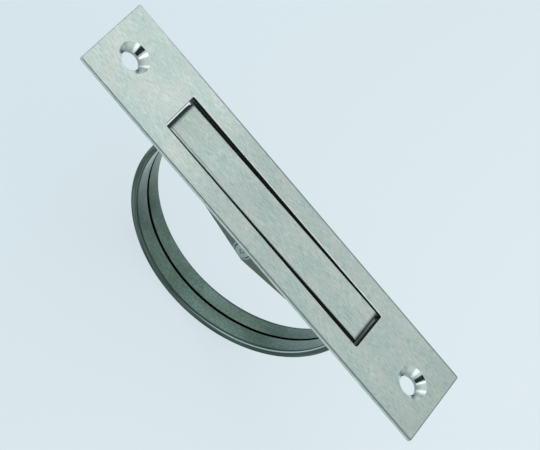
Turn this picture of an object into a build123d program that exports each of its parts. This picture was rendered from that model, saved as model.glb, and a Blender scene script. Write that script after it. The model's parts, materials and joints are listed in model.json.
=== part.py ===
from build123d import *
import os
from math import cos, radians, sin, tan

# Flush rotary handle in stainless sheet: a slotted face plate, and a ring handle that turns
# end over end on a riveted pivot behind it. Millimetres, with X along the plate, Y along the
# pivot and +Z out of the front face. The origin is midway between the screw holes, on the
# rims where the screws leave the plate.

os.makedirs("parts", exist_ok=True)

# Face plate
plate_length = 120.0
plate_width = 26.5
plate_thickness = 0.9
plate_corner_radius = 0.5
plate_edge_radius = 0.3
slot_length = 70.0
slot_width = 13.3
slot_corner_radius = 0.6
slot_edge_radius = 0.2

# Screw holes, pressed through the plate as dimples so that the screw heads lie flush
screw_spacing = 103.0
screw_hole_radius = 2.6
countersink_radius = 4.35
countersink_angle = 90
dimple_wall = 0.9
dimple_land = 0.8

# Pivot
pivot_depth = 6.8
rest_tilt = 1.05
rivet_radius = 1.5
rivet_head_radius = 2.0
rivet_roll_height = 0.6
rivet_hollow_radius = 0.5
rivet_hollow_floor = 0.15
running_clearance = 0.05

# Brackets that carry the pivot, bent to an L and spot welded behind the plate
bracket_sheet = 1.0
bracket_setback = 0.3
bracket_overhang = 1.0
bracket_end_depth = 2.5
bracket_point_depth = 2.45
bracket_point_offset = 1.65
bracket_point_radius = 0.6
bracket_bend_radius = 0.4
foot_margin = 1.8
weld_radius = 1.4
weld_depth = 0.12
weld_spacing = 18.0
weld_count = 4

# Strip that closes the slot's raised end from behind
strip_reach = 0.35
strip_length = 3.2
strip_thickness = 2.4

# Handle panel, a pressed pan that fills the slot and hangs from the pivot by two lugs
panel_sheet = 0.5
panel_set_back = 0.15
panel_end_gap = 0.75
panel_side_gap = 0.9
panel_end_radius = 1.4
panel_side_radius = 0.5
panel_flange_depth = 2.6
lug_eye_radius = 2.6
lug_taper = 26.0

# Handle ring, a strip rolled to a flat tube with an open seam, then bent round the pivot
ring_inset = 1.4
ring_thickness = 1.75
ring_sheet = 0.6
ring_corner_break = 0.3
seam_width = 0.85

# Spring washers and spacer sleeve on the rivet
washer_radius = 2.1
washer_sheet = 0.45
washer_clearance = 0.06
sleeve_wall = 0.5

# Sizes that follow from those above
panel_length = slot_length - 2 * panel_end_gap
panel_width = slot_width - 2 * panel_side_gap
panel_inside_width = panel_width - 2 * panel_sheet
panel_inside_length = panel_length - 2 * panel_sheet
ring_width = panel_inside_width
ring_outer_radius = panel_length / 2 - ring_inset
ring_middle_radius = ring_outer_radius - ring_thickness / 2
panel_top = pivot_depth - panel_set_back
ring_leg_top = panel_top - panel_sheet
web_inside = slot_width / 2 + bracket_setback
web_outside = web_inside + bracket_sheet
foot_edge = plate_width / 2 - foot_margin
bracket_length = slot_length + 2 * bracket_overhang
bore_radius = rivet_radius + running_clearance
countersink_slope = tan(radians(countersink_angle / 2))
dimple_depth = (countersink_radius - screw_hole_radius) / countersink_slope + dimple_land
dimple_height = dimple_depth - plate_thickness
dimple_radius = screw_hole_radius + dimple_wall
front_face = dimple_depth
back_face = front_face - plate_thickness
pivot_height = front_face - pivot_depth

# The pivot seen from the -Y side, with X to the right and Z up, upright and at the handle's tilt
pivot_axis = Axis((0, 0, pivot_height), (0, 1, 0))
pivot_plan = Plane.XY.offset(pivot_height)
pivot_side = Plane(origin=(0, 0, pivot_height), x_dir=(1, 0, 0), z_dir=(0, -1, 0))
tilt = radians(rest_tilt)
handle_side = Plane(origin=pivot_side.origin, x_dir=(cos(tilt), 0, sin(tilt)), z_dir=(0, -1, 0))

# Face plate: slotted sheet with broken front edges and two dimpled countersinks
with BuildPart() as face_plate:
    with BuildSketch(Plane.XY.offset(back_face)):
        RectangleRounded(plate_length, plate_width, plate_corner_radius)
        RectangleRounded(slot_length, slot_width, slot_corner_radius, mode=Mode.SUBTRACT)
    extrude(amount=plate_thickness)
    fillet(face_plate.faces().sort_by(Axis.Z)[-1].inner_wires()[0].edges(), slot_edge_radius)
    fillet(face_plate.faces().sort_by(Axis.Z)[-1].outer_wire().edges(), plate_edge_radius)
    for end in (-1, 1):
        with Locations((end * screw_spacing / 2, 0, back_face)):
            Cone(
                bottom_radius=dimple_radius,
                top_radius=dimple_radius + dimple_height * countersink_slope,
                height=dimple_height,
                align=(Align.CENTER, Align.CENTER, Align.MAX),
            )
        with Locations((end * screw_spacing / 2, 0, front_face)):
            CounterSinkHole(
                screw_hole_radius,
                countersink_radius,
                depth=dimple_depth,
                counter_sink_angle=countersink_angle,
            )
face_plate.part.label = "face_plate"
export_step(face_plate.part, "parts/face_plate.step")

# Pivot brackets: an L of sheet whose web tapers to a blunt point below the rivet
web_end = pivot_depth - bracket_end_depth
web_top = pivot_depth - plate_thickness
foot_face = back_face - bracket_sheet
for side, hand in ((-1, "left"), (1, "right")):
    with BuildPart() as bracket:
        with BuildSketch(Plane.YZ) as section:
            with BuildLine():
                Polyline(
                    (side * web_inside, pivot_height - bracket_point_depth),
                    (side * web_inside, back_face),
                    (side * foot_edge, back_face),
                    (side * foot_edge, foot_face),
                    (side * web_outside, foot_face),
                    (side * web_outside, pivot_height - bracket_point_depth),
                    close=True,
                )
            make_face()
        extrude(amount=bracket_length / 2, both=True)
        inner_bend = bracket.edges().sort_by_distance((0, side * web_outside, foot_face))[0]
        fillet(inner_bend, bracket_bend_radius)
        outer_bend = bracket.edges().sort_by_distance((0, side * web_inside, back_face))[0]
        fillet(outer_bend, bracket_bend_radius + bracket_sheet)
        with BuildSketch(pivot_side) as outline:
            with BuildLine():
                Polyline(
                    (-bracket_length / 2, web_top),
                    (bracket_length / 2, web_top),
                    (bracket_length / 2, web_end),
                    (bracket_point_offset, -bracket_point_depth),
                    (-bracket_length / 2, web_end),
                    close=True,
                )
            make_face()
            fillet(outline.vertices().sort_by(Axis.Y)[0], bracket_point_radius)
        extrude(amount=plate_width / 2, both=True, mode=Mode.INTERSECT)
        with BuildSketch(pivot_side):
            Circle(rivet_radius)
        extrude(amount=plate_width / 2, both=True, mode=Mode.SUBTRACT)
        foot_middle = side * (web_outside + bracket_bend_radius + foot_edge) / 2
        with BuildSketch(Plane.XY.offset(foot_face)):
            with Locations((0, foot_middle)):
                with GridLocations(weld_spacing, 0, weld_count, 1):
                    Circle(weld_radius)
        extrude(amount=weld_depth, mode=Mode.SUBTRACT)
    bracket.part.label = f"pivot_bracket_{hand}"
    export_step(bracket.part, f"parts/pivot_bracket_{hand}.step")

# Pivot rivet: a plain shank whose hollow ends are rolled over the brackets
with BuildPart() as pivot_rivet:
    crown = web_outside + rivet_roll_height
    hollow_floor = web_outside + rivet_hollow_floor
    roll_middle = (rivet_hollow_radius + rivet_head_radius) / 2
    with BuildSketch(pivot_plan):
        with BuildLine():
            for side in (-1, 1):
                Line((0, side * hollow_floor), (rivet_hollow_radius, side * hollow_floor))
                ThreePointArc(
                    (rivet_hollow_radius, side * hollow_floor),
                    (roll_middle, side * crown),
                    (rivet_head_radius, side * web_outside),
                )
                Line((rivet_head_radius, side * web_outside), (rivet_radius, side * web_outside))
            Line((rivet_radius, -web_outside), (rivet_radius, web_outside))
            Line((0, -hollow_floor), (0, hollow_floor))
        make_face()
    revolve(axis=pivot_axis)
pivot_rivet.part.label = "pivot_rivet"
export_step(pivot_rivet.part, "parts/pivot_rivet.step")

# Closing strip: a bar across the back of the slot's raised end, so that no light shows there
with BuildPart() as closing_strip:
    with BuildSketch(Plane.XY.offset(back_face)):
        with Locations((slot_length / 2 - strip_reach, 0)):
            Rectangle(strip_length, slot_width, align=(Align.MIN, Align.CENTER))
    extrude(amount=-strip_thickness)
closing_strip.part.label = "closing_strip"
export_step(closing_strip.part, "parts/closing_strip.step")

# Spring washers: shallow cones that press between the brackets and the handle's lugs
washer_seat = web_inside - washer_clearance
washer_rim = panel_width / 2 + washer_clearance
for side, hand in ((-1, "left"), (1, "right")):
    with BuildPart() as washer:
        with BuildSketch(pivot_plan):
            with BuildLine():
                Polyline(
                    (bore_radius, side * washer_seat),
                    (bore_radius, side * (washer_seat - washer_sheet)),
                    (washer_radius, side * washer_rim),
                    (washer_radius, side * (washer_rim + washer_sheet)),
                    close=True,
                )
            make_face()
        revolve(axis=pivot_axis)
    washer.part.label = f"spring_washer_{hand}"
    export_step(washer.part, f"parts/spring_washer_{hand}.step")

# Handle panel: a pan drawn from sheet, its long flanges deepened to lugs at the pivot
with BuildPart() as handle_panel:
    flange_edge = panel_top - panel_flange_depth
    lug_apex = -lug_eye_radius / cos(radians(lug_taper))
    lug_base = (flange_edge - lug_apex) / tan(radians(lug_taper))
    with BuildSketch(handle_side) as profile:
        with BuildLine():
            Polyline(
                (-panel_length / 2, panel_top),
                (panel_length / 2, panel_top),
                (panel_length / 2, flange_edge),
                (lug_base, flange_edge),
                (0, lug_apex),
                (-lug_base, flange_edge),
                (-panel_length / 2, flange_edge),
                close=True,
            )
        make_face()
        fillet(profile.vertices().group_by(Axis.Y)[-1], panel_end_radius)
        fillet(profile.vertices().sort_by(Axis.Y)[0], lug_eye_radius)
    extrude(amount=panel_width / 2, both=True)
    crown_edges = handle_panel.edges().filter_by(
        lambda edge: abs(edge.center().Y) > panel_inside_width / 2
        and handle_side.to_local_coords(edge.center()).Y > flange_edge
    )
    fillet(crown_edges, panel_side_radius)
    with BuildSketch(handle_side) as hollow:
        with BuildLine():
            Polyline(
                (-panel_inside_length / 2, ring_leg_top),
                (panel_inside_length / 2, ring_leg_top),
                (panel_inside_length / 2, -2 * lug_eye_radius),
                (-panel_inside_length / 2, -2 * lug_eye_radius),
                close=True,
            )
        make_face()
        fillet(hollow.vertices().group_by(Axis.Y)[-1], panel_end_radius - panel_sheet)
    extrude(amount=panel_inside_width / 2, both=True, mode=Mode.SUBTRACT)
    with BuildSketch(handle_side):
        Circle(bore_radius)
    extrude(amount=panel_width, both=True, mode=Mode.SUBTRACT)
handle_panel.part.label = "handle_panel"
export_step(handle_panel.part, "parts/handle_panel.step")

# Handle ring: two straight legs under the panel, and the flat tube turned half round the pivot
with BuildPart() as handle_ring:
    leg_foot = handle_side.from_local_coords((ring_middle_radius, 0, 0))
    with BuildSketch(Plane(origin=leg_foot, x_dir=(0, 1, 0), z_dir=handle_side.y_dir)) as tube:
        Rectangle(ring_width, ring_thickness)
        chamfer(tube.vertices(), ring_corner_break)
        Rectangle(ring_width - 2 * ring_sheet, ring_thickness - 2 * ring_sheet, mode=Mode.SUBTRACT)
        with Locations((0, ring_thickness / 2)):
            Rectangle(seam_width, ring_thickness, mode=Mode.SUBTRACT)
    extrude(amount=ring_leg_top)
    mirror(about=Plane(origin=handle_side.origin, z_dir=handle_side.x_dir))
    revolve(tube.sketch, axis=pivot_axis, revolution_arc=180)
handle_ring.part.label = "handle_ring"
export_step(handle_ring.part, "parts/handle_ring.step")

# Spacer sleeve: keeps the handle's lugs apart when the rivet is closed
with BuildPart() as spacer_sleeve:
    with BuildSketch(handle_side):
        Circle(bore_radius + sleeve_wall)
        Circle(bore_radius, mode=Mode.SUBTRACT)
    extrude(amount=panel_inside_width / 2, both=True)
spacer_sleeve.part.label = "spacer_sleeve"
export_step(spacer_sleeve.part, "parts/spacer_sleeve.step")
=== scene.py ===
import json
from math import pi, radians, tan

import bpy
from mathutils import Matrix, Vector


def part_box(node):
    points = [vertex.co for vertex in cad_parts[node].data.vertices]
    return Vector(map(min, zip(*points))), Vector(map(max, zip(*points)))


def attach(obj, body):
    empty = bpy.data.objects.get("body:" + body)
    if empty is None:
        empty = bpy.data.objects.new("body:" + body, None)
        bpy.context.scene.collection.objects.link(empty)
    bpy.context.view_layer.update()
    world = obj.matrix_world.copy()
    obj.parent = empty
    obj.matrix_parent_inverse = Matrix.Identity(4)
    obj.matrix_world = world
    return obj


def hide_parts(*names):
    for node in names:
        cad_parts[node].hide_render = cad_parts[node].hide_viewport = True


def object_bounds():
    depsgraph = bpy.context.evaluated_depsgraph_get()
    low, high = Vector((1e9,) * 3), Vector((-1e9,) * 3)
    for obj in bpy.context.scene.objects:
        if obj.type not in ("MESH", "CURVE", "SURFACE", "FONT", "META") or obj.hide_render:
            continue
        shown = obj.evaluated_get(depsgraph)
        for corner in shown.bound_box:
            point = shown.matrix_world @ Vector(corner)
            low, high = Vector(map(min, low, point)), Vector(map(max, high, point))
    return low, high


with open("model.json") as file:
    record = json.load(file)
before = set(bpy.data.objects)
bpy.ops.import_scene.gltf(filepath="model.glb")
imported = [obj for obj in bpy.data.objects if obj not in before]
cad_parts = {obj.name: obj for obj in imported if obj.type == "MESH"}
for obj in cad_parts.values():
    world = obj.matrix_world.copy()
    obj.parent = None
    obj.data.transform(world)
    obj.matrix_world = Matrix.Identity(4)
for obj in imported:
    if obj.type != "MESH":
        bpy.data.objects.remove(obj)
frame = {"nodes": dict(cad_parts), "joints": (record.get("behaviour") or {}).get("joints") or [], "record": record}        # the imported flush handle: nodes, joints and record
cad_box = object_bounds()
bpy.ops.object.select_all(action="DESELECT")

MM = 0.001

# Places and sizes of the handle, from the frame and, where it can't say, from the part's source
plate_low, plate_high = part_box("face_plate")
ring_low, ring_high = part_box("handle_ring")
pivot = Vector(frame["joints"][0]["pos_m"])
screw_holes = frame["record"]["mounts"][0]["dims"]
hole_spacing = screw_holes["spacing_x_mm"] * MM
hole_radius = screw_holes["hole_r_mm"] * MM
countersink_radius = 4.35 * MM
slot_half_length, slot_half_width = 35 * MM, 6.65 * MM
rest_tilt = radians(1.05)
ring_radius = pivot.z - ring_low.z
ring_width = ring_high.y - ring_low.y
ring_thickness = 1.75 * MM
ring_sheet = 0.6 * MM
ring_corner = 0.55 * MM
ring_outer_corner = 0.25 * MM
ring_leg = 6.15 * MM
seam_width = 0.85 * MM
seam_lip = 0.1 * MM


def linear(hex_code):
    """A colour written as sRGB hex, as the linear RGBA that a socket takes."""
    parts = [int(hex_code[i:i + 2], 16) / 255 for i in (1, 3, 5)]
    return [p / 12.92 if p <= 0.04045 else ((p + 0.055) / 1.055) ** 2.4 for p in parts] + [1.0]


def add(tree, kind, inputs=None, **settings):
    """Adds a node with its settings; each input is linked to a socket or set to a value."""
    made = tree.nodes.new(kind)
    for name, value in settings.items():
        setattr(made, name, value)
    for key, value in (inputs or {}).items():
        if isinstance(value, bpy.types.NodeSocket):
            tree.links.new(value, made.inputs[key])
        else:
            made.inputs[key].default_value = value
    return made


def new_material(name):
    """An empty material, with its node tree and the Principled shader that it ends in."""
    material = bpy.data.materials.new(name)
    material.use_nodes = True
    tree = material.node_tree
    return material, tree, tree.nodes["Principled BSDF"]


def belt_ground(tree, place):
    """The ground sheet's hairlines, its clouds and the colour that they make: short lines along X,
    clouds a few millimetres wide, and larger patches of colder and warmer steel."""
    # Belt lines are about 0.06 mm apart, too fine to show, so they are drawn 0.28 mm apart
    line_width, line_length = 0.28 * MM, 1.6 * MM
    stretched = add(tree, "ShaderNodeMapping", {
        "Vector": place.outputs["Object"],
        "Scale": (1 / line_length, 1 / line_width, 1 / line_width),
    })
    lines = add(tree, "ShaderNodeTexNoise", {
        "Vector": stretched.outputs["Vector"], "Scale": 1.0, "Detail": 3.0, "Roughness": 0.6,
    })
    # Clouds lie along the belt too
    cloud_width, cloud_length = 1.5 * MM, 5 * MM
    spread = add(tree, "ShaderNodeMapping", {
        "Vector": place.outputs["Object"],
        "Scale": (1 / cloud_length, 1 / cloud_width, 1 / cloud_width),
    })
    clouds = add(tree, "ShaderNodeTexNoise", {
        "Vector": spread.outputs["Vector"], "Scale": 1.0, "Detail": 3.0,
    })
    # Patches, where the belt was pressed more or less, are moved to where this plate has them
    patch_width, patch_length = 6 * MM, 11 * MM
    patch_shift = (6.0, 14.9, 11.4)
    pressed = add(tree, "ShaderNodeMapping", {
        "Vector": place.outputs["Object"], "Location": patch_shift,
        "Scale": (1 / patch_length, 1 / patch_width, 1 / patch_width),
    })
    patches = add(tree, "ShaderNodeTexNoise", {
        "Vector": pressed.outputs["Vector"], "Scale": 1.0, "Detail": 1.0,
    })

    scratched = add(tree, "ShaderNodeMapRange", {
        "Value": lines.outputs["Fac"], "From Min": 0.3, "From Max": 0.7,
    })
    tone = add(tree, "ShaderNodeMix", {
        "Factor": scratched.outputs["Result"], "A": linear("#adbab6"), "B": linear("#e2e9e6"),
    }, data_type="RGBA")
    tinted = add(tree, "ShaderNodeMapRange", {
        "Value": clouds.outputs["Fac"], "From Min": 0.4, "From Max": 0.7, "To Max": 0.6,
    })
    clouded = add(tree, "ShaderNodeMix", {
        "Factor": tinted.outputs["Result"], "A": tone.outputs["Result"], "B": linear("#d7d9d5"),
    }, data_type="RGBA")
    warmth = add(tree, "ShaderNodeMapRange", {
        "Value": patches.outputs["Fac"], "From Min": 0.35, "From Max": 0.65,
    })
    patch_tint = add(tree, "ShaderNodeMix", {
        "Factor": warmth.outputs["Result"], "A": linear("#eff6f5"), "B": linear("#fffdfc"),
    }, data_type="RGBA")
    patched = add(tree, "ShaderNodeMix", {
        "Factor": 1.0, "A": clouded.outputs["Result"], "B": patch_tint.outputs["Result"],
    }, data_type="RGBA", blend_type="MULTIPLY")
    return lines.outputs["Fac"], clouds.outputs["Fac"], patched.outputs["Result"]


def handling_marks_and_painted_light(tree, axes, along, across, ground):
    """The ground sheet's colour with what hands leave on it, two duller ends, and painted light: a
    painted highlight on the slot's +Y rim, and a painted shade line in the panel."""
    # Fingers dull the end of the panel that they push in, and the plate's +X end
    panel_side, panel_end = slot_half_width - 0.65 * MM, slot_half_length - 0.2 * MM
    pushed_start, pushed_full = -16 * MM, -32 * MM
    held_start, held_full, held_share = 42 * MM, 58 * MM, 0.45
    on_panel = add(tree, "ShaderNodeMath", {0: across, 1: panel_side}, operation="LESS_THAN")
    in_slot = add(tree, "ShaderNodeMath", {0: along, 1: panel_end}, operation="LESS_THAN")
    pushed = add(tree, "ShaderNodeMapRange", {
        "Value": axes.outputs["X"], "From Min": pushed_start, "From Max": pushed_full,
        "To Max": on_panel.outputs[0],
    })
    pushed_end = add(tree, "ShaderNodeMath", {
        0: pushed.outputs["Result"], 1: in_slot.outputs[0],
    }, operation="MULTIPLY")
    held = add(tree, "ShaderNodeMapRange", {
        "Value": axes.outputs["X"], "From Min": held_start, "From Max": held_full,
        "To Max": held_share,
    })
    fingered = add(tree, "ShaderNodeMath", {
        0: pushed_end.outputs[0], 1: held.outputs["Result"],
    }, operation="MAXIMUM")
    handled = add(tree, "ShaderNodeMix", {
        "Factor": fingered.outputs[0], "A": ground, "B": linear("#e6e8e7"),
    }, data_type="RGBA", blend_type="MULTIPLY")

    # Painted highlight: the rim is a thin bright line along the slot's edge
    rim_inside, rim_outside = slot_half_width - 0.05 * MM, slot_half_width + 0.3 * MM
    rim_fade, rim_end = 0.15 * MM, slot_half_length + 0.2 * MM
    past_rim = add(tree, "ShaderNodeMath", {
        0: axes.outputs["Y"], 1: rim_inside,
    }, operation="GREATER_THAN")
    rim_line = add(tree, "ShaderNodeMapRange", {
        "Value": axes.outputs["Y"], "From Min": rim_outside, "From Max": rim_outside - rim_fade,
        "To Max": past_rim.outputs[0],
    })
    beside_slot = add(tree, "ShaderNodeMath", {0: along, 1: rim_end}, operation="LESS_THAN")
    rim_highlight = add(tree, "ShaderNodeMath", {
        0: rim_line.outputs["Result"], 1: beside_slot.outputs[0],
    }, operation="MULTIPLY")
    rim_highlighted = add(tree, "ShaderNodeMix", {
        "Factor": rim_highlight.outputs[0], "A": handled.outputs["Result"], "B": linear("#fafcfb"),
    }, data_type="RGBA")

    # Painted shade: a dark line runs beside the panel's -Y rounding, deepest at the pushed end
    shade_line_place, shade_line_half = -4.95 * MM, 0.22 * MM
    shade_line_start, shade_line_full = -14 * MM, -22 * MM
    past_shade_line = add(tree, "ShaderNodeMath", {
        0: axes.outputs["Y"], 1: shade_line_place,
    }, operation="SUBTRACT")
    off_shade_line = add(tree, "ShaderNodeMath", {0: past_shade_line.outputs[0]}, operation="ABSOLUTE")
    bend_line_shade_depth = add(tree, "ShaderNodeMapRange", {
        "Value": axes.outputs["X"], "From Min": shade_line_start, "From Max": shade_line_full,
    })
    bend_line_shade = add(tree, "ShaderNodeMapRange", {
        "Value": off_shade_line.outputs[0], "From Min": shade_line_half, "From Max": shade_line_half / 3,
        "To Max": bend_line_shade_depth.outputs["Result"],
    })
    bend_line_shade_on_panel = add(tree, "ShaderNodeMath", {
        0: bend_line_shade.outputs["Result"], 1: in_slot.outputs[0],
    }, operation="MULTIPLY")
    bend_line_shaded = add(tree, "ShaderNodeMix", {
        "Factor": bend_line_shade_on_panel.outputs[0], "A": rim_highlighted.outputs["Result"], "B": linear("#b4bbb8"),
    }, data_type="RGBA", blend_type="MULTIPLY")
    return bend_line_shaded.outputs["Result"]


def slot_walls(tree, axes, facing, near_slot):
    """How far a point is on a wall in or round the slot. These walls are dark: partly their own
    finish, sheared or drawn and out of the belt's reach, and partly painted shade in the gap."""
    # A wall starts where the sheet bends away from the front, and later on the slot's +Y rim
    panel_side, rim_side = slot_half_width - 0.65 * MM, slot_half_width - 0.45 * MM
    panel_slope, rim_slope, slope_change = 0.87, 0.45, 0.42
    wall_start = add(tree, "ShaderNodeMapRange", {
        "Value": axes.outputs["Y"], "From Min": panel_side, "From Max": rim_side,
        "To Min": panel_slope, "To Max": rim_slope,
    })
    wall_full = add(tree, "ShaderNodeMath", {
        0: wall_start.outputs["Result"], 1: slope_change,
    }, operation="SUBTRACT")
    upright = add(tree, "ShaderNodeMapRange", {
        "Value": facing.outputs["Z"], "From Min": wall_start.outputs["Result"],
        "From Max": wall_full.outputs[0],
    })

    # Painted shade: the long walls are dark only near the front of the tilted panel, and undersides
    # are not
    front_start, front_full, under_slope = 0.9 * MM, 1.2 * MM, -0.3
    tilt_rise = add(tree, "ShaderNodeMath", {
        0: axes.outputs["X"], 1: tan(rest_tilt),
    }, operation="MULTIPLY")
    height = add(tree, "ShaderNodeMath", {
        0: axes.outputs["Z"], 1: tilt_rise.outputs[0],
    }, operation="SUBTRACT")
    near_front = add(tree, "ShaderNodeMapRange", {
        "Value": height.outputs[0], "From Min": front_start, "From Max": front_full,
    })
    not_under = add(tree, "ShaderNodeMath", {
        0: facing.outputs["Z"], 1: under_slope,
    }, operation="GREATER_THAN")
    front_wall = add(tree, "ShaderNodeMath", {
        0: upright.outputs["Result"], 1: near_front.outputs["Result"],
    }, operation="MULTIPLY")
    long_wall = add(tree, "ShaderNodeMath", {
        0: front_wall.outputs[0], 1: not_under.outputs[0],
    }, operation="MULTIPLY")

    # Painted shade: the end walls are dark all the way down, though less so at the bottom
    end_bottom, end_full, bottom_share = -1.5 * MM, 0.3 * MM, 0.3
    end_on = add(tree, "ShaderNodeMath", {0: facing.outputs["X"]}, operation="ABSOLUTE")
    end_bend = add(tree, "ShaderNodeMapRange", {
        "Value": end_on.outputs[0], "From Min": 0.05, "From Max": 0.9,
    })
    end_depth = add(tree, "ShaderNodeMapRange", {
        "Value": height.outputs[0], "From Min": end_bottom, "From Max": end_full,
        "To Min": bottom_share,
    })
    end_wall = add(tree, "ShaderNodeMath", {
        0: end_bend.outputs["Result"], 1: end_depth.outputs["Result"],
    }, operation="MULTIPLY")

    walls = add(tree, "ShaderNodeMath", {
        0: long_wall.outputs[0], 1: end_wall.outputs[0],
    }, operation="MAXIMUM")
    return add(tree, "ShaderNodeMath", {
        0: walls.outputs[0], 1: near_slot,
    }, operation="MULTIPLY").outputs[0]


def dull_edges(tree, axes, facing, near_slot):
    """How dull a point at the plate's outer edges is: on the roundings, and in the bands beside
    them."""
    # Roundings are neither flat nor upright, and the one at the -X end is left out
    dulling_start, dulling_full, least_dulling = -45 * MM, -10 * MM, 0.6
    off_flat = add(tree, "ShaderNodeMapRange", {
        "Value": facing.outputs["Z"], "From Min": 0.98, "From Max": 0.88,
    })
    off_side = add(tree, "ShaderNodeMapRange", {
        "Value": facing.outputs["Z"], "From Min": 0.2, "From Max": 0.45,
    })
    rounding = add(tree, "ShaderNodeMath", {
        0: off_flat.outputs["Result"], 1: off_side.outputs["Result"],
    }, operation="MULTIPLY")
    outer_rounding = add(tree, "ShaderNodeMath", {
        0: rounding.outputs[0], 1: near_slot,
    }, operation="SUBTRACT", use_clamp=True)
    undulled_end = add(tree, "ShaderNodeMath", {
        0: 0.0, 1: facing.outputs["X"],
    }, operation="SUBTRACT", use_clamp=True)
    dulled_rounding = add(tree, "ShaderNodeMath", {
        0: outer_rounding.outputs[0], 1: undulled_end.outputs[0],
    }, operation="SUBTRACT", use_clamp=True)
    dulling_along = add(tree, "ShaderNodeMapRange", {
        "Value": axes.outputs["X"], "From Min": dulling_start, "From Max": dulling_full,
        "To Min": least_dulling,
    })
    dull = add(tree, "ShaderNodeMath", {
        0: dulled_rounding.outputs[0], 1: dulling_along.outputs["Result"],
    }, operation="MULTIPLY").outputs[0]

    # Bands lie beside three edges: the axis across a band, where it starts and is full on that
    # axis, and between which millimetres along the plate it grows, from which strength to which
    for axis, start, full, ends, strengths in (
        ("Y", plate_high.y - 0.8 * MM, plate_high.y - 0.3 * MM, (-55, -30), (0.1, 0.95)),
        ("Y", plate_low.y + 0.6 * MM, plate_low.y + 0.3 * MM, (-30, 35), (0.05, 0.75)),
        ("X", plate_high.x - 0.5 * MM, plate_high.x - 0.2 * MM, (50, 55), (0.0, 0.7)),
    ):
        growth = add(tree, "ShaderNodeMapRange", {
            "Value": axes.outputs["X"], "From Min": ends[0] * MM, "From Max": ends[1] * MM,
            "To Min": strengths[0], "To Max": strengths[1],
        })
        band = add(tree, "ShaderNodeMapRange", {
            "Value": axes.outputs[axis], "From Min": start, "From Max": full,
            "To Max": growth.outputs["Result"],
        })
        on_top = add(tree, "ShaderNodeMath", {
            0: band.outputs["Result"], 1: off_side.outputs["Result"],
        }, operation="MULTIPLY")
        dull = add(tree, "ShaderNodeMath", {
            0: dull, 1: on_top.outputs[0],
        }, operation="MAXIMUM").outputs[0]
    return dull


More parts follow.
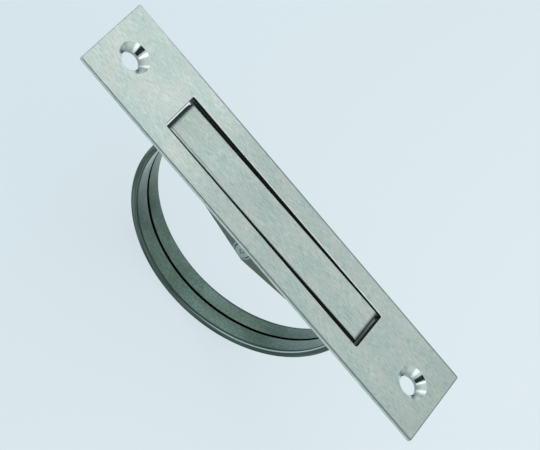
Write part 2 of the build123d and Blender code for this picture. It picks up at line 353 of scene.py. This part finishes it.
def satin_stainless():
    """Stainless sheet ground with a fine belt along the plate. It gives a pale grey-green satin
    with hairlines and clouds along X, marks of hands, a painted highlight on the slot's +Y rim, a
    painted shade line beside the panel's -Y rounding, bright turned countersinks with painted shade
    towards the hole, dull grey outer edges, and slot walls painted dark, partly for their sheared
    finish out of the belt's reach and partly as painted shade in the gap."""
    material, tree, steel = new_material("stainless_304_belt_ground")
    place = add(tree, "ShaderNodeTexCoord")
    axes = add(tree, "ShaderNodeSeparateXYZ", {"Vector": place.outputs["Object"]})
    facing = add(tree, "ShaderNodeSeparateXYZ", {"Vector": place.outputs["Normal"]})
    along = add(tree, "ShaderNodeMath", {0: axes.outputs["X"]}, operation="ABSOLUTE").outputs[0]
    across = add(tree, "ShaderNodeMath", {0: axes.outputs["Y"]}, operation="ABSOLUTE").outputs[0]

    # Near the slot: the panel and the plate's edges round it
    reach_length, reach_width = slot_half_length + 5 * MM, slot_half_width + 0.45 * MM
    near_length = add(tree, "ShaderNodeMath", {0: along, 1: reach_length}, operation="LESS_THAN")
    near_width = add(tree, "ShaderNodeMath", {0: across, 1: reach_width}, operation="LESS_THAN")
    near_slot = add(tree, "ShaderNodeMath", {
        0: near_length.outputs[0], 1: near_width.outputs[0],
    }, operation="MULTIPLY").outputs[0]

    lines, clouds, ground = belt_ground(tree, place)
    marked = handling_marks_and_painted_light(tree, axes, along, across, ground)
    # Slot walls are dark, partly for their finish and partly as painted shade in the gap
    sheared_and_shaded = slot_walls(tree, axes, facing, near_slot)
    edged = add(tree, "ShaderNodeMix", {
        "Factor": dull_edges(tree, axes, facing, near_slot), "A": marked, "B": linear("#77847f"),
    }, data_type="RGBA")
    wall_shaded = add(tree, "ShaderNodeMix", {
        "Factor": sheared_and_shaded, "A": edged.outputs["Result"], "B": linear("#343b39"),
    }, data_type="RGBA")

    # Countersinks, by how near a point is to a screw hole's axis: the cone is bright at its rim
    #     and painted shade darkens it towards the hole
    turned_start, turned_full = countersink_radius + 0.12 * MM, countersink_radius - 0.02 * MM
    bright_depth = 0.8 * MM
    from_hole = add(tree, "ShaderNodeMath", {0: along, 1: hole_spacing / 2}, operation="SUBTRACT")
    hole_plan = add(tree, "ShaderNodeCombineXYZ", {
        "X": from_hole.outputs[0], "Y": axes.outputs["Y"],
    })
    hole_distance = add(tree, "ShaderNodeVectorMath", {0: hole_plan.outputs[0]}, operation="LENGTH")
    turned = add(tree, "ShaderNodeMapRange", {
        "Value": hole_distance.outputs["Value"], "From Min": turned_start, "From Max": turned_full,
    })
    cone_shade = add(tree, "ShaderNodeMapRange", {
        "Value": hole_distance.outputs["Value"],
        "From Min": countersink_radius - bright_depth, "From Max": hole_radius,
    })
    cone = add(tree, "ShaderNodeMix", {
        "Factor": cone_shade.outputs["Result"], "A": linear("#d6dedc"), "B": linear("#a4acaa"),
    }, data_type="RGBA")
    coloured = add(tree, "ShaderNodeMix", {
        "Factor": turned.outputs["Result"], "A": wall_shaded.outputs["Result"], "B": cone.outputs["Result"],
    }, data_type="RGBA")

    # Roughness of the belt's clouds, of the walls and of the turned cones
    belt_smooth, belt_rough, wall_rough, cone_smooth = 0.24, 0.34, 0.9, 0.13
    belt_gloss = add(tree, "ShaderNodeMapRange", {
        "Value": clouds, "From Min": 0.3, "From Max": 0.7,
        "To Min": belt_smooth, "To Max": belt_rough,
    })
    wall_gloss = add(tree, "ShaderNodeMix", {
        "Factor": sheared_and_shaded, "A": belt_gloss.outputs["Result"], "B": wall_rough,
    }, data_type="FLOAT")
    gloss = add(tree, "ShaderNodeMix", {
        "Factor": turned.outputs["Result"], "A": wall_gloss.outputs["Result"], "B": cone_smooth,
    }, data_type="FLOAT")
    relief = add(tree, "ShaderNodeMath", {
        0: lines, 1: turned.outputs["Result"],
    }, operation="SUBTRACT", use_clamp=True)
    bump = add(tree, "ShaderNodeBump", {
        "Height": relief.outputs[0], "Strength": 0.45, "Distance": 0.05 * MM,
    })
    # Ground lines spread the gloss across themselves, which on every face but the ends is across X
    grain = add(tree, "ShaderNodeCombineXYZ", {"Y": 0.97, "Z": 0.24})

    tree.links.new(coloured.outputs["Result"], steel.inputs["Base Color"])
    tree.links.new(gloss.outputs["Result"], steel.inputs["Roughness"])
    tree.links.new(bump.outputs["Normal"], steel.inputs["Normal"])
    tree.links.new(grain.outputs["Vector"], steel.inputs["Tangent"])
    steel.inputs["Metallic"].default_value = 1.0
    steel.inputs["Anisotropic"].default_value = 0.85
    return material


def strip_colour(tree, place, lines, turn):
    """The strip's colour: slate lines with olive patches and dull specks, and painted shade that
    makes it duller at the ring's shoulders."""
    patch_size, speckle_size = 4.5 * MM, 0.6 * MM
    patches = add(tree, "ShaderNodeTexNoise", {
        "Vector": place.outputs["Object"], "Scale": 1 / patch_size, "Detail": 2.0,
    })
    speckle = add(tree, "ShaderNodeTexNoise", {
        "Vector": place.outputs["Object"], "Scale": 1 / speckle_size, "Detail": 3.0,
    })
    tone = add(tree, "ShaderNodeMix", {
        "Factor": lines, "A": linear("#526a65"), "B": linear("#849c95"),
    }, data_type="RGBA")
    olive = add(tree, "ShaderNodeMapRange", {
        "Value": patches.outputs["Fac"], "From Min": 0.4, "From Max": 0.6, "To Max": 0.6,
    })
    patched = add(tree, "ShaderNodeMix", {
        "Factor": olive.outputs["Result"], "A": tone.outputs["Result"], "B": linear("#657466"),
    }, data_type="RGBA")
    dulled = add(tree, "ShaderNodeMapRange", {
        "Value": speckle.outputs["Fac"], "From Min": 0.4, "From Max": 0.65, "To Max": 0.5,
    })
    speckled = add(tree, "ShaderNodeMix", {
        "Factor": dulled.outputs["Result"], "A": patched.outputs["Result"], "B": linear("#4a5956"),
    }, data_type="RGBA")

    # Painted shade round the ring's shoulders
    shoulder_turn, shoulder_reach = 2.44, 0.32        # radians round the pivot, from +X
    past_shoulder = add(tree, "ShaderNodeMath", {0: turn, 1: shoulder_turn}, operation="SUBTRACT")
    off_shoulder = add(tree, "ShaderNodeMath", {0: past_shoulder.outputs[0]}, operation="ABSOLUTE")
    shoulder_shade = add(tree, "ShaderNodeMapRange", {
        "Value": off_shoulder.outputs[0], "From Min": shoulder_reach, "From Max": 0.0,
    })
    mottled_and_shaded = add(tree, "ShaderNodeMix", {
        "Factor": shoulder_shade.outputs["Result"], "A": speckled.outputs["Result"], "B": linear("#dedbd4"),
    }, data_type="RGBA", blend_type="MULTIPLY")
    return mottled_and_shaded.outputs["Result"]


def rolled_strip():
    """Stainless strip rolled to a flat tube and left as it came. It gives a dark slate sheen with
    fine drawing lines round the ring, olive patches and dull specks, dark scored sides, painted
    shade at the shoulders, a painted dark reflection inside each corner, painted highlights on the
    -X leg and along the corners, and darker lips along the seam. Angles are in radians round the
    pivot, from +X: the ring's lowest point is at -pi / 2, and its -X leg is near pi."""
    material, tree, steel = new_material("stainless_strip_rolled")
    place = add(tree, "ShaderNodeTexCoord")
    facing = add(tree, "ShaderNodeSeparateXYZ", {"Vector": place.outputs["Normal"]})
    from_pivot = add(tree, "ShaderNodeVectorMath", {
        0: place.outputs["Object"], 1: pivot,
    }, operation="SUBTRACT")
    axes = add(tree, "ShaderNodeSeparateXYZ", {"Vector": from_pivot.outputs[0]})
    across = add(tree, "ShaderNodeMath", {0: axes.outputs["Y"]}, operation="ABSOLUTE").outputs[0]
    angle = add(tree, "ShaderNodeMath", {
        0: axes.outputs["Z"], 1: axes.outputs["X"],
    }, operation="ARCTAN2").outputs[0]
    turn = add(tree, "ShaderNodeMath", {0: angle}, operation="ABSOLUTE").outputs[0]

    # Drawing lines run round the pivot, so the pattern is read by radius and width across
    line_width, line_turn = 0.35 * MM, radians(25)
    outward = add(tree, "ShaderNodeCombineXYZ", {"X": axes.outputs["X"], "Z": axes.outputs["Z"]})
    radius = add(tree, "ShaderNodeVectorMath", {0: outward.outputs[0]}, operation="LENGTH")
    wrapped = add(tree, "ShaderNodeCombineXYZ", {
        "X": radius.outputs["Value"], "Y": axes.outputs["Y"], "Z": angle,
    })
    stretched = add(tree, "ShaderNodeMapping", {
        "Vector": wrapped.outputs[0],
        "Scale": (1 / line_width, 1 / line_width, 1 / line_turn),
    })
    lines = add(tree, "ShaderNodeTexNoise", {
        "Vector": stretched.outputs["Vector"], "Scale": 1.0, "Detail": 3.0, "Roughness": 0.6,
    }).outputs["Fac"]
    mottled_and_shaded = strip_colour(tree, place, lines, turn)

    # Painted highlight: the near half of the -X leg is painted lighter
    highlight_start, highlight_full = 2.7, 2.95
    near_half = add(tree, "ShaderNodeMath", {0: axes.outputs["Y"], 1: 0.0}, operation="LESS_THAN")
    highlight_along_leg = add(tree, "ShaderNodeMapRange", {
        "Value": turn, "From Min": highlight_start, "From Max": highlight_full,
    })
    leg_highlight = add(tree, "ShaderNodeMath", {
        0: highlight_along_leg.outputs["Result"], 1: near_half.outputs[0],
    }, operation="MULTIPLY")
    leg_highlighted = add(tree, "ShaderNodeMix", {
        "Factor": leg_highlight.outputs[0], "A": mottled_and_shaded, "B": linear("#b6c8c1"),
    }, data_type="RGBA")

    # Painted reflection: inside each corner of the tube a dark band stands in for the bend's dark
    # reflection, wider from the bottom towards the +X leg
    wider_start, wider_full = -1.5, -1.2
    narrow_bend, wide_bend, bend_fade = 0.6 * MM, 0.95 * MM, 0.25 * MM
    facing_out = add(tree, "ShaderNodeVectorMath", {
        0: place.outputs["Normal"], 1: outward.outputs[0],
    }, operation="DOT_PRODUCT")
    inner = add(tree, "ShaderNodeMath", {
        0: facing_out.outputs["Value"], 1: 0.0,
    }, operation="LESS_THAN").outputs[0]
    bend_start = add(tree, "ShaderNodeMapRange", {
        "Value": angle, "From Min": wider_start, "From Max": wider_full,
        "To Min": ring_width / 2 - narrow_bend, "To Max": ring_width / 2 - wide_bend,
    })
    bend_full = add(tree, "ShaderNodeMath", {
        0: bend_start.outputs["Result"], 1: bend_fade,
    }, operation="ADD")
    bend_shade = add(tree, "ShaderNodeMapRange", {
        "Value": across, "From Min": bend_start.outputs["Result"],
        "From Max": bend_full.outputs[0], "To Max": inner,
    })
    bend_shaded = add(tree, "ShaderNodeMix", {
        "Factor": bend_shade.outputs["Result"], "A": leg_highlighted.outputs["Result"], "B": linear("#44544e"),
    }, data_type="RGBA")

    # The tube's two sides are scored along the draw, and darker past the ring's lowest point
    dark_start, dark_full = -2.4, -1.6
    sideways = add(tree, "ShaderNodeMath", {0: facing.outputs["Y"]}, operation="ABSOLUTE").outputs[0]
    outside = add(tree, "ShaderNodeMapRange", {
        "Value": sideways, "From Min": 0.7, "From Max": 0.95,
    })
    darker = add(tree, "ShaderNodeMapRange", {
        "Value": angle, "From Min": dark_start, "From Max": dark_full,
    })
    side = add(tree, "ShaderNodeMix", {
        "Factor": darker.outputs["Result"], "A": linear("#707c75"), "B": linear("#5d6b65"),
    }, data_type="RGBA")
    scored = add(tree, "ShaderNodeMapRange", {"Value": lines, "From Min": 0.4, "From Max": 0.6})
    score_tint = add(tree, "ShaderNodeMix", {
        "Factor": scored.outputs["Result"], "A": linear("#a6aaa8"), "B": linear("#ffffff"),
    }, data_type="RGBA")
    scored_side = add(tree, "ShaderNodeMix", {
        "Factor": 1.0, "A": side.outputs["Result"], "B": score_tint.outputs["Result"],
    }, data_type="RGBA", blend_type="MULTIPLY")
    sided = add(tree, "ShaderNodeMix", {
        "Factor": outside.outputs["Result"], "A": bend_shaded.outputs["Result"],
        "B": scored_side.outputs["Result"],
    }, data_type="RGBA")

    # Painted highlight: a bright line follows the corner between bend and side, up to the +X leg
    highlight_turn_start, highlight_turn_full = -1.6, -1.0
    off_flat = add(tree, "ShaderNodeMapRange", {
        "Value": sideways, "From Min": 0.5, "From Max": 0.66,
    })
    off_side = add(tree, "ShaderNodeMapRange", {
        "Value": sideways, "From Min": 0.97, "From Max": 0.9,
    })
    highlight_turn = add(tree, "ShaderNodeMapRange", {
        "Value": angle, "From Min": highlight_turn_start, "From Max": highlight_turn_full, "To Max": inner,
    })
    on_corner = add(tree, "ShaderNodeMath", {
        0: off_flat.outputs["Result"], 1: off_side.outputs["Result"],
    }, operation="MULTIPLY")
    corner_highlight = add(tree, "ShaderNodeMath", {
        0: on_corner.outputs[0], 1: highlight_turn.outputs["Result"],
    }, operation="MULTIPLY")
    with_painted_line = add(tree, "ShaderNodeMix", {
        "Factor": corner_highlight.outputs[0], "A": sided.outputs["Result"], "B": linear("#b9cac5"),
    }, data_type="RGBA")

    # The seam's lips are darker up the -X leg
    dark_leg_start, dark_leg_full = 1.9, 2.3
    seam_dark_edge, seam_dark_full = seam_width / 2 + 0.16 * MM, seam_width / 2 + 0.06 * MM
    up_leg = add(tree, "ShaderNodeMapRange", {
        "Value": turn, "From Min": dark_leg_start, "From Max": dark_leg_full, "To Max": inner,
    })
    at_seam = add(tree, "ShaderNodeMapRange", {
        "Value": across, "From Min": seam_dark_edge, "From Max": seam_dark_full,
        "To Max": up_leg.outputs["Result"],
    })
    seam_darkened = add(tree, "ShaderNodeMix", {
        "Factor": at_seam.outputs["Result"], "A": with_painted_line.outputs["Result"], "B": linear("#232c2a"),
    }, data_type="RGBA")

    gloss = add(tree, "ShaderNodeMapRange", {"Value": lines, "To Min": 0.24, "To Max": 0.36})
    bump = add(tree, "ShaderNodeBump", {
        "Height": lines, "Strength": 0.15, "Distance": 0.04 * MM,
    })
    tree.links.new(seam_darkened.outputs["Result"], steel.inputs["Base Color"])
    tree.links.new(gloss.outputs["Result"], steel.inputs["Roughness"])
    tree.links.new(bump.outputs["Normal"], steel.inputs["Normal"])
    steel.inputs["Metallic"].default_value = 1.0
    return material


def grained_steel(name, dark, light, grain_size, gloss_range, bump_depth):
    """Steel with an even grain: mill-finish sheet, a headed rivet or a dull spring washer."""
    material, tree, steel = new_material(name)
    place = add(tree, "ShaderNodeTexCoord")
    grain = add(tree, "ShaderNodeTexNoise", {
        "Vector": place.outputs["Object"], "Scale": 1 / grain_size, "Detail": 4.0,
    })
    tone = add(tree, "ShaderNodeMix", {
        "Factor": grain.outputs["Fac"], "A": linear(dark), "B": linear(light),
    }, data_type="RGBA")
    gloss = add(tree, "ShaderNodeMapRange", {
        "Value": grain.outputs["Fac"], "To Min": gloss_range[0], "To Max": gloss_range[1],
    })
    bump = add(tree, "ShaderNodeBump", {
        "Height": grain.outputs["Fac"], "Strength": 0.2, "Distance": bump_depth,
    })
    tree.links.new(tone.outputs["Result"], steel.inputs["Base Color"])
    tree.links.new(gloss.outputs["Result"], steel.inputs["Roughness"])
    tree.links.new(bump.outputs["Normal"], steel.inputs["Normal"])
    steel.inputs["Metallic"].default_value = 1.0
    return material


def riveted_sheet():
    """Mill-finish stainless sheet, burnished by the riveting tool. It gives a dull dark grey with
    a pale ring pressed round the rivet, and a painted shadow line where the rivet's head sits on it."""
    pressed_edge, pressed_full = 2.8 * MM, 2.5 * MM
    head_edge, head_full = 2.2 * MM, 2.1 * MM
    heat_start, heat_full, heat_share = 2 * MM, 5 * MM, 0.6
    material = grained_steel(
        "stainless_sheet_riveted", "#4e5a57", "#76837f", 1.0 * MM, (0.3, 0.45), 0.02 * MM)
    tree = material.node_tree
    steel = tree.nodes["Principled BSDF"]
    sheet = steel.inputs["Base Color"].links[0].from_socket
    place = add(tree, "ShaderNodeTexCoord")
    from_pivot = add(tree, "ShaderNodeVectorMath", {
        0: place.outputs["Object"], 1: pivot,
    }, operation="SUBTRACT")
    axes = add(tree, "ShaderNodeSeparateXYZ", {"Vector": from_pivot.outputs[0]})
    outward = add(tree, "ShaderNodeCombineXYZ", {"X": axes.outputs["X"], "Z": axes.outputs["Z"]})
    radius = add(tree, "ShaderNodeVectorMath", {0: outward.outputs[0]}, operation="LENGTH")

    # The welds' heat left a straw tint on one side of the rivet
    heated = add(tree, "ShaderNodeMapRange", {
        "Value": axes.outputs["X"], "From Min": heat_start, "From Max": heat_full,
        "To Max": heat_share,
    })
    tinted = add(tree, "ShaderNodeMix", {
        "Factor": heated.outputs["Result"], "A": sheet, "B": linear("#6b6d54"),
    }, data_type="RGBA")
    pressed = add(tree, "ShaderNodeMapRange", {
        "Value": radius.outputs["Value"], "From Min": pressed_edge, "From Max": pressed_full,
    })
    seated = add(tree, "ShaderNodeMix", {
        "Factor": pressed.outputs["Result"], "A": tinted.outputs["Result"], "B": linear("#8c9f98"),
    }, data_type="RGBA")
    # Painted shadow: a dark line round the rivet's head, where it sits on the sheet
    head_shadow = add(tree, "ShaderNodeMapRange", {
        "Value": radius.outputs["Value"], "From Min": head_edge, "From Max": head_full,
    })
    with_painted_line = add(tree, "ShaderNodeMix", {
        "Factor": head_shadow.outputs["Result"], "A": seated.outputs["Result"], "B": linear("#27302d"),
    }, data_type="RGBA")
    tree.links.new(with_painted_line.outputs["Result"], steel.inputs["Base Color"])
    return material


def bent_ring():
    """The handle ring: a strip's section with round corners and an open seam, drawn down one leg,
    spun half round the pivot and drawn up the other leg, then given its wall and its lips."""
    nearness = 0.01 * MM        # points closer than this are in the same place
    corner_steps, turn_steps, lip_steps = 6, 120, 3
    sharp_angle, smooth_angle = radians(60), radians(35)
    middle = ring_radius - ring_thickness / 2
    inner = middle - ring_thickness / 2
    bpy.ops.mesh.primitive_plane_add(size=1, location=(middle, 0, ring_leg))
    ring = bpy.context.object
    ring.name = "handle_ring_tube"
    ring.scale = (ring_thickness, ring_width, 1)
    bpy.ops.object.transform_apply(location=True, rotation=True, scale=True)

    # Its outer corners are bent sharper than its inner ones
    for corner, is_outer in ((ring_corner, False), (ring_outer_corner, True)):
        bpy.ops.object.mode_set(mode="EDIT")
        bpy.ops.mesh.select_all(action="DESELECT")
        bpy.ops.mesh.select_mode(type="VERT")
        bpy.ops.object.mode_set(mode="OBJECT")
        for point in ring.data.vertices:
            at_edge = abs(abs(point.co.y) - ring_width / 2) < nearness
            at_side = abs(abs(point.co.x - middle) - ring_thickness / 2) < nearness
            point.select = at_edge and at_side and (point.co.x > middle) == is_outer
        bpy.ops.object.mode_set(mode="EDIT")
        bpy.ops.mesh.bevel(offset=corner, segments=corner_steps, affect="VERTICES")
        bpy.ops.object.mode_set(mode="OBJECT")
    bpy.ops.object.mode_set(mode="EDIT")
    bpy.ops.mesh.select_all(action="SELECT")
    bpy.ops.mesh.delete(type="ONLY_FACE")
    bpy.ops.object.mode_set(mode="OBJECT")

    # The seam: the section's inner side is cut twice, and what lies between is taken out
    for side in (-1, 1):
        bpy.ops.object.mode_set(mode="EDIT")
        bpy.ops.mesh.select_all(action="SELECT")
        bpy.ops.mesh.bisect(plane_co=(0, side * seam_width / 2, 0), plane_no=(0, 1, 0))
        bpy.ops.object.mode_set(mode="OBJECT")
    bpy.ops.object.mode_set(mode="EDIT")
    bpy.ops.mesh.select_all(action="DESELECT")
    bpy.ops.mesh.select_mode(type="EDGE")
    bpy.ops.object.mode_set(mode="OBJECT")
    for edge in ring.data.edges:
        centre = sum((ring.data.vertices[i].co for i in edge.vertices), Vector()) / 2
        edge.select = abs(centre.x - inner) < nearness and abs(centre.y) < nearness
    bpy.ops.object.mode_set(mode="EDIT")
    bpy.ops.mesh.delete(type="EDGE")

    # One leg, the half turn, and the other leg
    bpy.ops.mesh.select_all(action="SELECT")
    bpy.ops.mesh.extrude_region_move(TRANSFORM_OT_translate={"value": (0, 0, -ring_leg)})
    bpy.ops.mesh.spin(steps=turn_steps, angle=-pi, center=(0, 0, 0), axis=(0, 1, 0))
    bpy.ops.mesh.extrude_region_move(TRANSFORM_OT_translate={"value": (0, 0, ring_leg)})
    bpy.ops.mesh.select_all(action="SELECT")
    bpy.ops.mesh.remove_doubles(threshold=nearness)
    bpy.ops.mesh.normals_make_consistent(inside=False)
    bpy.ops.object.mode_set(mode="OBJECT")

    wall = ring.modifiers.new("wall", "SOLIDIFY")
    wall.thickness = ring_sheet
    wall.offset = -1
    bpy.ops.object.modifier_apply(modifier=wall.name)
    lip = ring.modifiers.new("lip", "BEVEL")
    lip.width = seam_lip
    lip.segments = lip_steps
    lip.limit_method = "ANGLE"
    lip.angle_limit = sharp_angle
    bpy.ops.object.modifier_apply(modifier=lip.name)

    # It was made round the origin and upright, so it is moved to the pivot, at the rest tilt
    ring.matrix_world = Matrix.Translation(pivot) @ Matrix.Rotation(-rest_tilt, 4, "Y")
    bpy.ops.object.transform_apply(location=True, rotation=True, scale=True)
    bpy.ops.object.shade_smooth_by_angle(angle=smooth_angle)
    bpy.ops.object.select_all(action="DESELECT")
    return ring


def paper_backdrop():
    """Matt backdrop paper. Where it is seen, directly or in metal, it mostly shows its own pale
    blue, and keeps a soft share of the shadow."""
    sweep_start, sweep_end, own_share = -80 * MM, 90 * MM, 0.8
    material, tree, paper = new_material("paper_backdrop_matt")
    place = add(tree, "ShaderNodeTexCoord")
    axes = add(tree, "ShaderNodeSeparateXYZ", {"Vector": place.outputs["Object"]})
    sweep = add(tree, "ShaderNodeMapRange", {
        "Value": axes.outputs["X"], "From Min": sweep_start, "From Max": sweep_end,
    })
    colour = add(tree, "ShaderNodeMix", {
        "Factor": sweep.outputs["Result"], "A": linear("#dae8ef"), "B": linear("#e4eff4"),
    }, data_type="RGBA").outputs["Result"]
    light_path = add(tree, "ShaderNodeLightPath")
    seen = add(tree, "ShaderNodeMath", {
        0: light_path.outputs["Is Camera Ray"], 1: light_path.outputs["Is Glossy Ray"],
    }, operation="MAXIMUM")
    seen_through = add(tree, "ShaderNodeMath", {
        0: seen.outputs[0], 1: light_path.outputs["Is Transmission Ray"],
    }, operation="MAXIMUM")
    share = add(tree, "ShaderNodeMath", {
        0: seen_through.outputs[0], 1: own_share,
    }, operation="MULTIPLY")
    glow = add(tree, "ShaderNodeEmission", {"Color": colour, "Strength": 1.0})
    mixed = add(tree, "ShaderNodeMixShader", {
        0: share.outputs[0], 1: paper.outputs["BSDF"], 2: glow.outputs["Emission"],
    })
    tree.links.new(colour, paper.inputs["Base Color"])
    tree.links.new(mixed.outputs["Shader"], tree.nodes["Material Output"].inputs["Surface"])
    paper.inputs["Roughness"].default_value = 0.9
    paper.inputs["Specular IOR Level"].default_value = 0.0
    return material


def black_velvet():
    """Black cotton velvet, as flags are made of: it gives no gloss at all."""
    material, _, velvet = new_material("cotton_velvet_black")
    velvet.inputs["Base Color"].default_value = linear("#22282a")
    velvet.inputs["Roughness"].default_value = 1.0
    velvet.inputs["Specular IOR Level"].default_value = 0.0
    return material


def studio_room():
    """A pale room that dims towards the floor."""
    room = bpy.data.worlds.new("studio_room")
    room.use_nodes = True
    tree = room.node_tree
    looking = add(tree, "ShaderNodeTexCoord")
    axes = add(tree, "ShaderNodeSeparateXYZ", {"Vector": looking.outputs["Generated"]})
    walls = add(tree, "ShaderNodeValToRGB", {"Fac": axes.outputs["Z"]})
    ramp = walls.color_ramp.elements
    ramp[0].position, ramp[0].color = 0.0, linear("#9aa5a4")
    ramp[1].position, ramp[1].color = 1.0, linear("#e6efef")
    for height, colour in ((0.15, "#b4bfbe"), (0.35, "#d8e2e1")):
        ramp.new(height).color = linear(colour)
    tree.links.new(walls.outputs["Color"], tree.nodes["Background"].inputs["Color"])
    tree.nodes["Background"].inputs["Strength"].default_value = 1.0
    return room


def softbox(name, place, aim, width, height, radiance):
    """A softbox that faces the point it is aimed at, at the brightness of its cloth."""
    facing = (Vector(place) - Vector(aim)).to_track_quat("Z", "Y").to_euler()
    bpy.ops.object.light_add(type="AREA", location=place, rotation=facing)
    light = bpy.context.object
    light.name = name
    light.data.shape = "RECTANGLE"
    light.data.size = width
    light.data.size_y = height
    light.data.energy = radiance * pi * width * height
    light.visible_camera = False


# Finishes on the pieces whose solids already have the right shape
sheet_finish = satin_stainless()
bracket_finish = riveted_sheet()
# The closing strip's mill finish is painted darker, partly as painted shade, as it is seen only down
# in the slot's gap
mill_finish_and_shade = grained_steel(
    "stainless_sheet_mill_finish_and_shade", "#3a4340", "#5b6662", 1.2 * MM, (0.32, 0.5), 0.02 * MM)
rivet_finish = grained_steel(
    "stainless_rivet_cold_headed", "#87938f", "#aeb8b5", 0.5 * MM, (0.16, 0.28), 0.01 * MM)
spring_finish = grained_steel(
    "spring_steel_oiled", "#6d7474", "#8c9291", 0.6 * MM, (0.35, 0.5), 0.01 * MM)
for node, finish in (
    ("face_plate", sheet_finish),
    ("handle_panel", sheet_finish),
    ("pivot_bracket_left", bracket_finish),
    ("pivot_bracket_right", bracket_finish),
    ("closing_strip", mill_finish_and_shade),
    ("pivot_rivet", rivet_finish),
    ("spacer_sleeve", rivet_finish),
    ("spring_washer_left", spring_finish),
    ("spring_washer_right", spring_finish),
):
    frame["nodes"][node].material_slots[0].material = finish

ring = bent_ring()
ring.data.materials.append(rolled_strip())
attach(ring, "handle")
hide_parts("handle_ring")

# Pale floor under the ring
floor_size, floor_level = 4, cad_box[0].z
bpy.ops.mesh.primitive_plane_add(size=floor_size, location=(0, 0, floor_level))
floor = bpy.context.object
floor.name = "floor"
bpy.ops.object.transform_apply(location=True, rotation=True, scale=True)
floor.data.materials.append(paper_backdrop())

# A black flag between the softboxes, which polished metal mirrors and nothing else feels
flag_place, flag_radius = Vector((-13, -165, 170)) * MM, 68 * MM
bpy.ops.mesh.primitive_circle_add(
    vertices=48, radius=flag_radius, fill_type="NGON", location=flag_place,
    rotation=flag_place.to_track_quat("Z", "Y").to_euler())
flag = bpy.context.object
flag.name = "black_flag"
bpy.ops.object.transform_apply(location=True, rotation=True, scale=True)
flag.data.materials.append(black_velvet())
flag.visible_camera = flag.visible_diffuse = flag.visible_shadow = flag.visible_transmission = False

# Soft studio light: the room, and softboxes round the handle
bpy.context.scene.world = studio_room()
softbox("left_front", (-0.27, -0.28, 0.33), (0, 0, 0), 0.13, 0.13, 1.4)
softbox("right_front", (0.26, -0.26, 0.32), (0, 0, 0), 0.18, 0.18, 0.6)
softbox("left_back", (-0.52, 0.20, 0.22), (0, 0, 0), 0.16, 0.16, 0.7)
softbox("far_end_fill", (-0.095, 0.085, 0.09), (-0.085, 0, 0.003), 0.172, 0.10, 0.32)

# The photograph's view: a long lens, low over the plate's near side and rolled with the plate
camera_place = Vector((-73.21, -404.16, 409.04)) * MM
camera_turn = [radians(a) for a in (28.87735, -36.35059, 36.80312)]
bpy.ops.object.camera_add(location=camera_place, rotation=camera_turn)
camera = bpy.context.object
camera.data.sensor_width = 36
camera.data.lens = 161.27
camera.data.clip_start = 0.01
bpy.context.scene.camera = camera
bpy.context.scene.view_settings.view_transform = "Standard"
